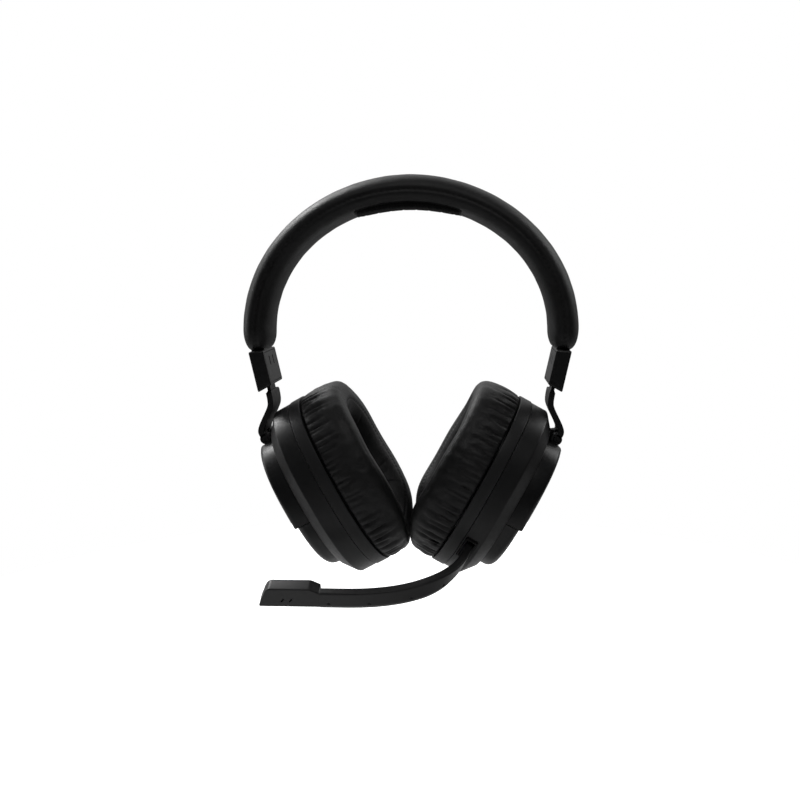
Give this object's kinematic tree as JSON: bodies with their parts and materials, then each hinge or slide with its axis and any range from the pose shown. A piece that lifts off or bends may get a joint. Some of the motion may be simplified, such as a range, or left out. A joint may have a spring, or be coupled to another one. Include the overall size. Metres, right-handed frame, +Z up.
{
  "type": "gaming headset",
  "caption": "Over-ear wireless gaming headset with a padded headband, sliding steel arms, toed-in tilting ear cups with leatherette cushions, and a swinging microphone boom.",
  "frame": {"origin": "middle of the crown pad's underside, where the headband rests on the head", "axes": "+Z up through the crown, the wearer faces -Y, +X towards the wearer's left, the side with the microphone boom"},
  "size_m": [0.1812, 0.1159, 0.2166],
  "materials": {
    "leatherette": "soft black leatherette with a fine grain",
    "pad_fabric": "black knitted mesh",
    "spring_steel": "plain spring steel",
    "satin_plastic": "satin black",
    "pin_steel": "turned",
    "nylon": "natural nylon",
    "coated_steel": "black coated, satin",
    "cup_plastic": "fine matt texture",
    "plate_plastic": "smooth satin",
    "rim_plastic": "matt",
    "driver_metal": "dark plated",
    "grille_metal": "matt black",
    "boom_plastic": "satin black",
    "capsule_metal": "plain",
    "circuit": "green laminate",
    "component": "matt black",
    "wheel_rubber": "matt black",
    "key_plastic": "matt black",
    "port_steel": "bright plated",
    "light_lens": "clear white",
    "battery_foil": "foil pouch"
  },
  "bodies": {
    "headband": {"headband_sleeve": "leatherette", "headband_spring": "spring_steel", "crown_pad": "pad_fabric", "slider_housing_left": "satin_plastic", "slider_cover_left": "satin_plastic", "stop_pin_left": "pin_steel", "slide_shoe_left": "nylon", "slider_housing_right": "satin_plastic", "slider_cover_right": "satin_plastic", "stop_pin_right": "pin_steel", "slide_shoe_right": "nylon"},
    "arm_left": {"arm_left": "coated_steel"},
    "arm_right": {"arm_right": "coated_steel"},
    "cup_left": {"housing_left": "cup_plastic", "hinge_pin_left": "pin_steel", "outer_plate_left": "plate_plastic", "lower_cover_left": "cup_plastic", "baffle_left": "rim_plastic", "driver_left": "driver_metal", "speaker_grille_left": "grille_metal", "cushion_frame_left": "rim_plastic", "ear_cushion_left": "leatherette", "circuit_board": "circuit", "volume_encoder": "component", "power_switch": "component", "mute_switch": "component", "usb_port": "port_steel", "status_light": "light_lens", "boom_socket": "rim_plastic", "boom_pin": "pin_steel"},
    "cup_right": {"housing_right": "cup_plastic", "hinge_pin_right": "pin_steel", "outer_plate_right": "plate_plastic", "lower_cover_right": "cup_plastic", "baffle_right": "rim_plastic", "driver_right": "driver_metal", "speaker_grille_right": "grille_metal", "cushion_frame_right": "rim_plastic", "ear_cushion_right": "leatherette", "battery": "battery_foil"},
    "boom": {"boom_arm": "boom_plastic", "mic_housing": "boom_plastic", "mic_element": "capsule_metal", "mic_cover": "boom_plastic"},
    "volume_wheel": {"volume_wheel": "wheel_rubber"},
    "power_button": {"power_button": "key_plastic"},
    "mute_button": {"mute_button": "key_plastic"}
  },
  "joints": [
    {"name": "slide_left", "type": "slide", "parent": "headband", "child": "arm_left", "axis": [-0.2164, 0, -0.9763], "range_m": [0, 0.02]},
    {"name": "slide_right", "type": "slide", "parent": "headband", "child": "arm_right", "axis": [0.2164, 0, -0.9763], "range_m": [0, 0.02]},
    {"name": "tilt_left", "type": "hinge", "parent": "arm_left", "child": "cup_left", "pos_m": [0.07881, 0, -0.12302], "axis": [0, -1, 0], "range_deg": [0, 29]},
    {"name": "tilt_right", "type": "hinge", "parent": "arm_right", "child": "cup_right", "pos_m": [-0.07881, 0, -0.12302], "axis": [0, 1, 0], "range_deg": [0, 29]},
    {"name": "boom_swing", "type": "hinge", "parent": "cup_left", "child": "boom", "pos_m": [0.03073, -0.03387, -0.17758], "axis": [-0.8746, 0, 0.4848], "range_deg": [0, 45]},
    {"name": "volume_turn", "type": "hinge", "parent": "cup_left", "child": "volume_wheel", "pos_m": [0.048, 0.03436, -0.14787], "axis": [0.8746, 0, -0.4848], "continuous": true},
    {"name": "power_press", "type": "slide", "parent": "cup_left", "child": "power_button", "axis": [0.1645, -0.9407, 0.2968], "range_m": [0, 0.0006], "stiffness_N_per_m": 600, "springref_m": -0.0005},
    {"name": "mute_press", "type": "slide", "parent": "cup_left", "child": "mute_button", "axis": [0.0581, -0.9928, 0.1048], "range_m": [0, 0.0006], "stiffness_N_per_m": 600, "springref_m": -0.0005}
  ]
}
